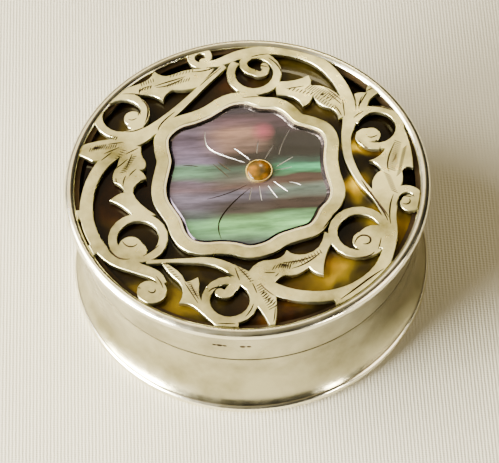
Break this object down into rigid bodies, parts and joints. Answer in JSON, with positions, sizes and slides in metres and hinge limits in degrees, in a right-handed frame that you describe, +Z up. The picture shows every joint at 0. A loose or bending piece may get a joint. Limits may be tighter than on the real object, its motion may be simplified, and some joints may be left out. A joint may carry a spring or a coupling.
{
  "type": "pill box",
  "caption": "Round waisted silver pill box with a lift-off lid; pierced scroll fretwork over tortoiseshell round a carved pearl-shell plaque.",
  "frame": {"origin": "centre of the foot ring's underside, which is the plane the box stands on", "axes": "+Z up through the lid, -Y towards the front, where the stamped marks are, +X to the right"},
  "size_m": [0.0482, 0.0482, 0.0194],
  "materials": {
    "silver": "softly polished solid silver with wear",
    "gilt_silver": "silver with a thin gold wash",
    "tortoiseshell": "polished, mottled amber and dark brown",
    "pearl_shell": "carved and polished pearl shell, iridescent",
    "amber_stone": "polished amber-coloured cabochon"
  },
  "bodies": {
    "box": {"foot_rim": "silver", "base_plate": "gilt_silver", "body_wall": "silver", "inner_lip": "gilt_silver"},
    "lid": {"lid_wall": "silver", "lid_rim": "silver", "backing_plate": "gilt_silver", "tortoiseshell_disc": "tortoiseshell", "spacer_ring": "silver", "fretwork": "silver", "plaque_bezel": "silver", "pearl_plaque": "pearl_shell", "stud_collet": "silver", "flower_stud": "amber_stone"}
  },
  "joints": [
    {"name": "lid_lift", "type": "slide", "parent": "box", "child": "lid", "axis": [0, 0, 1], "range_m": [0, 0.03]}
  ]
}
